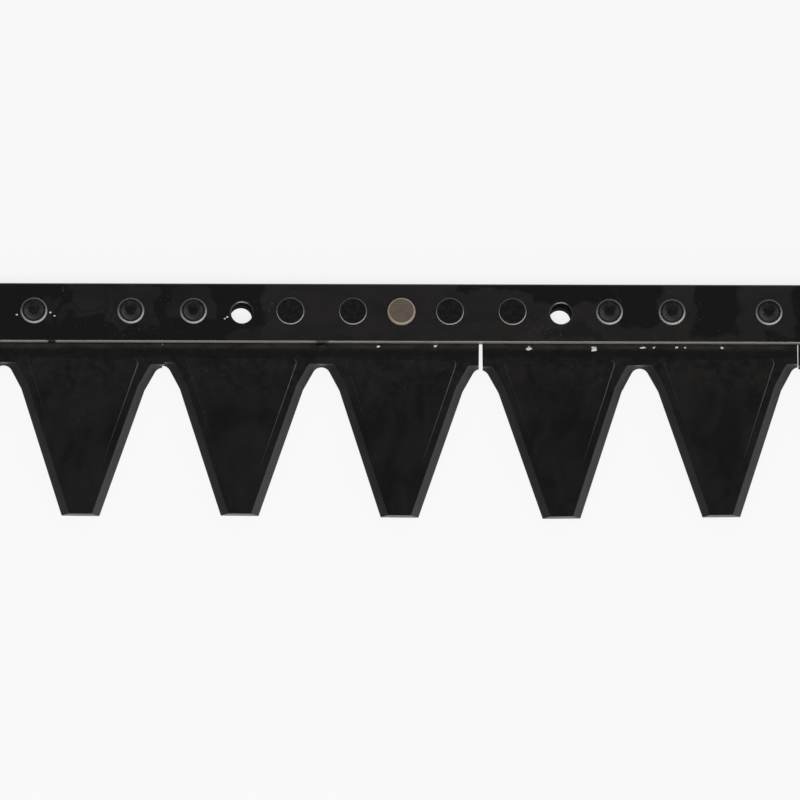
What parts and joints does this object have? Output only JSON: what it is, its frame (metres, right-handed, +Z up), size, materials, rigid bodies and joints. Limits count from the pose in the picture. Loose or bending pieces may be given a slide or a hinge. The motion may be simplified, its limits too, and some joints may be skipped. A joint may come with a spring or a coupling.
{
  "type": "mower knife",
  "caption": "Straight mower knife: blunt tapered teeth with bevelled edges on short plates riveted under a flat back.",
  "frame": {"origin": "on the sliding plane, under the middle of the knife's box", "axes": "+X along the knife, +Y towards its back edge, +Z up from the sliding side to the bevelled side"},
  "size_m": [0.5334, 0.1146, 0.0111],
  "materials": {
    "back_paint": "worn gloss",
    "tooth_paint": "worn satin",
    "rivet_paint": "worn gloss",
    "pin_metal": "dull"
  },
  "bodies": {
    "root": {"knife_back": "back_paint", "section_plate_a": "tooth_paint", "section_plate_b": "tooth_paint", "section_plate_c": "tooth_paint", "section_plate_d": "tooth_paint", "rivet_01": "rivet_paint", "rivet_02": "rivet_paint", "rivet_03": "rivet_paint", "rivet_04": "rivet_paint", "rivet_05": "rivet_paint", "rivet_06": "rivet_paint", "rivet_07": "rivet_paint", "rivet_08": "rivet_paint", "rivet_09": "rivet_paint", "rivet_10": "rivet_paint", "rivet_11": "rivet_paint", "rivet_12": "rivet_paint", "rivet_13": "rivet_paint", "rivet_14": "rivet_paint", "drive_pin": "pin_metal"}
  },
  "joints": []
}
